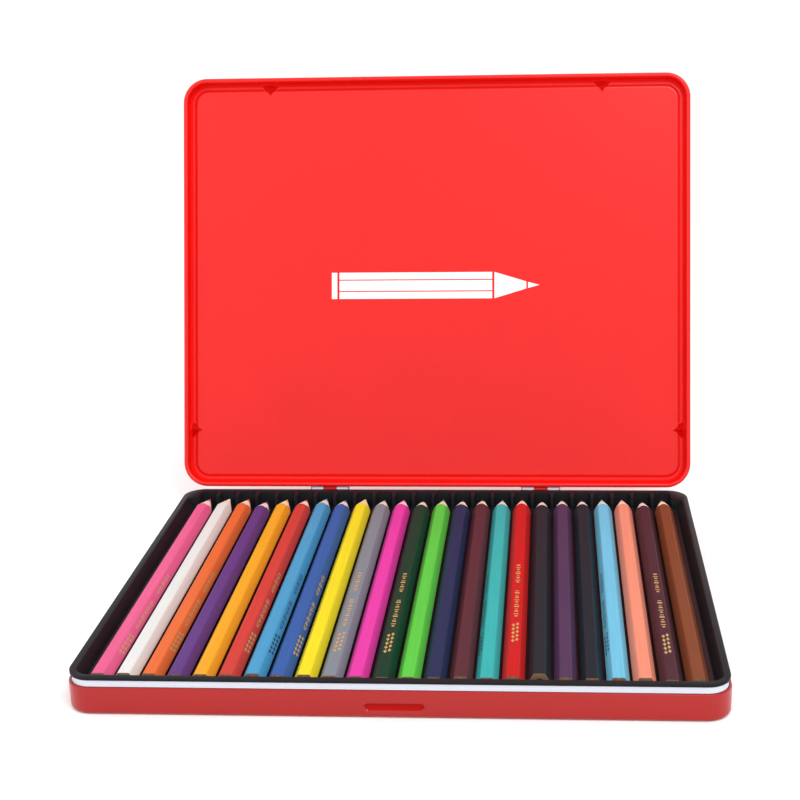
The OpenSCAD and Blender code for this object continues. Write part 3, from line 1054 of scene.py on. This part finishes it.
def pencil_casing(sizes, place, length):
    """Casing of one pencil, with its blunt end at "place": lacquered sides, bare wood at both ends."""
    bore, tip = sizes.bore / MM, sizes.point / MM / 2
    slope = math.tan(sizes.cone)
    lacquer, cone, butt = 0, 1, 2
    outline = hexagon(sizes)
    # the lacquer ends where the cone cuts the hexagon, in six shallow waves
    waves = [(r, length - (r - tip) / slope) for _, r in outline]
    cone_end = length - (bore - tip) / slope
    ease_in, ease_up = 0.12, 0.1  # the blunt end's eased rim
    # rings of (radius, distance from the blunt end)
    rings = [[(bore, 0.0) for _ in outline], [(r - ease_in, 0.0) for _, r in outline]]
    for f in (0, 0.3, 0.6, 0.9, 0.99):
        rings.append([(r, ease_up + (t - ease_up) * f) for r, t in waves])
    wood_start = len(rings)
    for f in (0, 0.12, 0.4, 0.7, 1):
        rings.append([(r + (bore - r) * f, t + (cone_end - t) * f) for r, t in waves])
    points, faces, marks = [], [], []
    for ring in rings:
        for (angle, _), (r, t) in zip(outline, ring):
            points.append((place[0] + r * math.cos(angle), place[1] + t, place[2] + r * math.sin(angle)))
    total, count = len(rings), len(outline)
    for k in range(total):
        after = (k + 1) % total
        for i in range(count):
            j = (i + 1) % count
            faces.append((after * count + i, after * count + j, k * count + j, k * count + i))
            marks.append(butt if k == 0 else lacquer if k < wood_start else cone)
    return points, faces, marks


def foil_stamp(sizes, place, facet, start):
    """Foil on one facet near the blunt end: a band of lozenges and two rows of plain bars."""
    turn = math.radians({"left": 150, "top": 90, "right": 30}[facet])
    out, across = (math.cos(turn), math.sin(turn)), (math.sin(turn), -math.cos(turn))

    def lay(u, v, h):
        r = sizes.flats / MM / 2 + h
        x, z = u * across[0] + r * out[0], u * across[1] + r * out[1]
        return (place[0] + x, place[1] + v, place[2] + z)

    outlines = []
    # two files of lozenges side by side, the second one 1 mm further along
    for i in range(5):
        v = start + 1.5 + 3.1 * i
        outlines.append([(-1.35, v), (-0.7, v - 1.3), (-0.1, v), (-0.7, v + 1.3)])
        outlines.append([(0.1, v + 1), (0.7, v - 0.3), (1.35, v + 1), (0.7, v + 2.3)])
    # bars every 2 mm, whose lengths and widths change as letters do but say nothing
    for row, count in ((start + 21, 12), (start + 51, 9)):
        for i in range(count):
            v, reach, width = row + 2 * i, (0.5, 0.9, 0.7)[i % 3], (1.1, 0.6)[i % 2]
            outlines.append(box_outline(-reach, reach, v, v + width))
    return flat_marks(outlines, lay, -0.04, 0.02, mark=3)


def pencil_place(node):
    """Centre of a pencil's blunt end and its length, from its CAD core."""
    low, high = node_box(f"{node}_core")
    return ((low.x + high.x) / 2, low.y, (low.z + high.z) / 2), high.y - low.y


class PENCILTIN_OT_pencils(bpy.types.Operator):
    """Builds the casings of the 24 pencils and gives their cores a waxy finish"""

    bl_idname = "penciltin.pencils"
    bl_label = "Pencils"

    def execute(self, context):
        sizes = context.scene.pencil_tin.pencils
        wood = sharpened_wood("sharpened_pencil_wood", sizes.wood, sizes.grain)
        # the blunt ends wear the darker butt colour: sawn end grain, darkened further as painted shade
        butt = sharpened_wood("pencil_end_grain_painted_shade", sizes.sawn_and_shade, tone(sizes.sawn_and_shade, 0.45)[:3])
        # pigment foil breaks up over the fibres of the wood, about 0.8 mm apart
        foils = {
            "gold": pressed_on("gold_stamping_foil", sizes.gold, 0.8, 0.3, 0.45),
            "dark": pressed_on("dark_stamping_foil", sizes.dark, 0.8, 0.3, 0.45),
        }
        for number, (name, lacquer, core, stamp) in enumerate(PENCILS, start=1):
            node = f"pencil_{number:02d}"
            place, length = pencil_place(node)
            parts = [pencil_casing(sizes, place, length)]
            materials = [dipped_lacquer(f"dipped_lacquer_{name}", to_linear(lacquer)), wood, butt]
            if stamp:
                facet, colour, start = stamp
                parts.append(foil_stamp(sizes, place, facet, start))
                materials.append(foils[colour])
            points, faces, marks = join_parts(*parts)
            piece = make_piece(f"{node}_hexagon", points, faces, materials, marks, sharp=40)
            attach(piece, node)
            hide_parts(f"{node}_casing")
            wax = wax_core(f"wax_core_{name}", to_linear(core))
            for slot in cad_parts[f"{node}_core"].material_slots:
                slot.material = wax
        return {"FINISHED"}


# ---------- stage ----------


def area_light(name, place, target, size, power):
    """Adds a soft white rectangular light that looks at the target; all in metres."""
    data = bpy.data.lights.new(name, "AREA")
    data.shape = "RECTANGLE"
    data.size, data.size_y = size
    data.energy = power
    lamp = bpy.data.objects.new(name, data)
    bpy.context.scene.collection.objects.link(lamp)
    lamp.location = place
    lamp.rotation_euler = (Vector(target) - Vector(place)).to_track_quat("-Z", "Y").to_euler()


class PENCILTIN_OT_stage(bpy.types.Operator):
    """Adds the pale floor, the soft lights and the camera"""

    bl_idname = "penciltin.stage"
    bl_label = "Stage"

    def execute(self, context):
        scene = context.scene
        sizes = scene.pencil_tin.stage
        # a round board of 9 m radius, a hair below the tin's underside
        count = 64
        ring = [(x, y, -0.02) for x, y in arc(0, 0, 9000, 0, 360, count)[:-1]]
        board = paper_board("white_board", sizes.floor)
        floor = make_piece("floor", ring, [list(range(count))], [board])

        world = bpy.data.worlds.new("soft_white")
        scene.world = world
        world.use_nodes = True
        world.node_tree.nodes["Background"].inputs["Color"].default_value = (1, 1, 1, 1)
        world.node_tree.nodes["Background"].inputs["Strength"].default_value = sizes.world

        middle = (0, 0, 0.05)
        area_light("key_light", (0.4, -0.6, 1.0), middle, (0.6, 0.5), sizes.key)
        area_light("fill_light", (-0.7, -0.7, 0.8), middle, (0.8, 0.8), sizes.fill)

        data = bpy.data.cameras.new("camera")
        data.sensor_width = 36
        data.lens = sizes.lens
        data.shift_x, data.shift_y = sizes.shift
        data.clip_start, data.clip_end = 0.01, 50
        camera = bpy.data.objects.new("camera", data)
        scene.collection.objects.link(camera)
        camera.matrix_world = Matrix.LocRotScale(Vector(sizes.place), Euler(sizes.angles), None)
        scene.camera = camera
        scene.view_settings.view_transform = "Standard"
        return {"FINISHED"}


# ---------- add-on ----------


class PENCILTIN_PT_panel(bpy.types.Panel):
    """Lists the tin's pieces and settings"""

    bl_label = "Pencil Tin"
    bl_space_type = "VIEW_3D"
    bl_region_type = "UI"
    bl_category = "Pencil Tin"

    def draw(self, context):
        settings = context.scene.pencil_tin
        for operator, group in PIECES:
            box = self.layout.box()
            box.operator(operator.bl_idname)
            if group:
                values = getattr(settings, group)
                for key in values.bl_rna.properties.keys():
                    if key not in ("name", "rna_type"):
                        box.prop(values, key)


PIECES = [
    (PENCILTIN_OT_base, "base"),
    (PENCILTIN_OT_lid, "lid"),
    (PENCILTIN_OT_tray, "tray"),
    (PENCILTIN_OT_pencils, "pencils"),
    (PENCILTIN_OT_stage, "stage"),
]
CLASSES = [
    BaseSettings,
    LidSettings,
    PencilSettings,
    TraySettings,
    StageSettings,
    TinSettings,
    *[operator for operator, _ in PIECES],
    PENCILTIN_PT_panel,
]


def register():
    """Registers the classes and gives the scene its settings."""
    for cls in CLASSES:
        bpy.utils.register_class(cls)
    bpy.types.Scene.pencil_tin = PointerProperty(type=TinSettings)


def unregister():
    """Takes the settings and the classes away again."""
    del bpy.types.Scene.pencil_tin
    for cls in reversed(CLASSES):
        bpy.utils.unregister_class(cls)


def main():
    """Builds every piece and the stage."""
    register()
    bpy.ops.penciltin.base()
    bpy.ops.penciltin.lid()
    bpy.ops.penciltin.tray()
    bpy.ops.penciltin.pencils()
    bpy.ops.penciltin.stage()


if __name__ == "__main__":
    main()
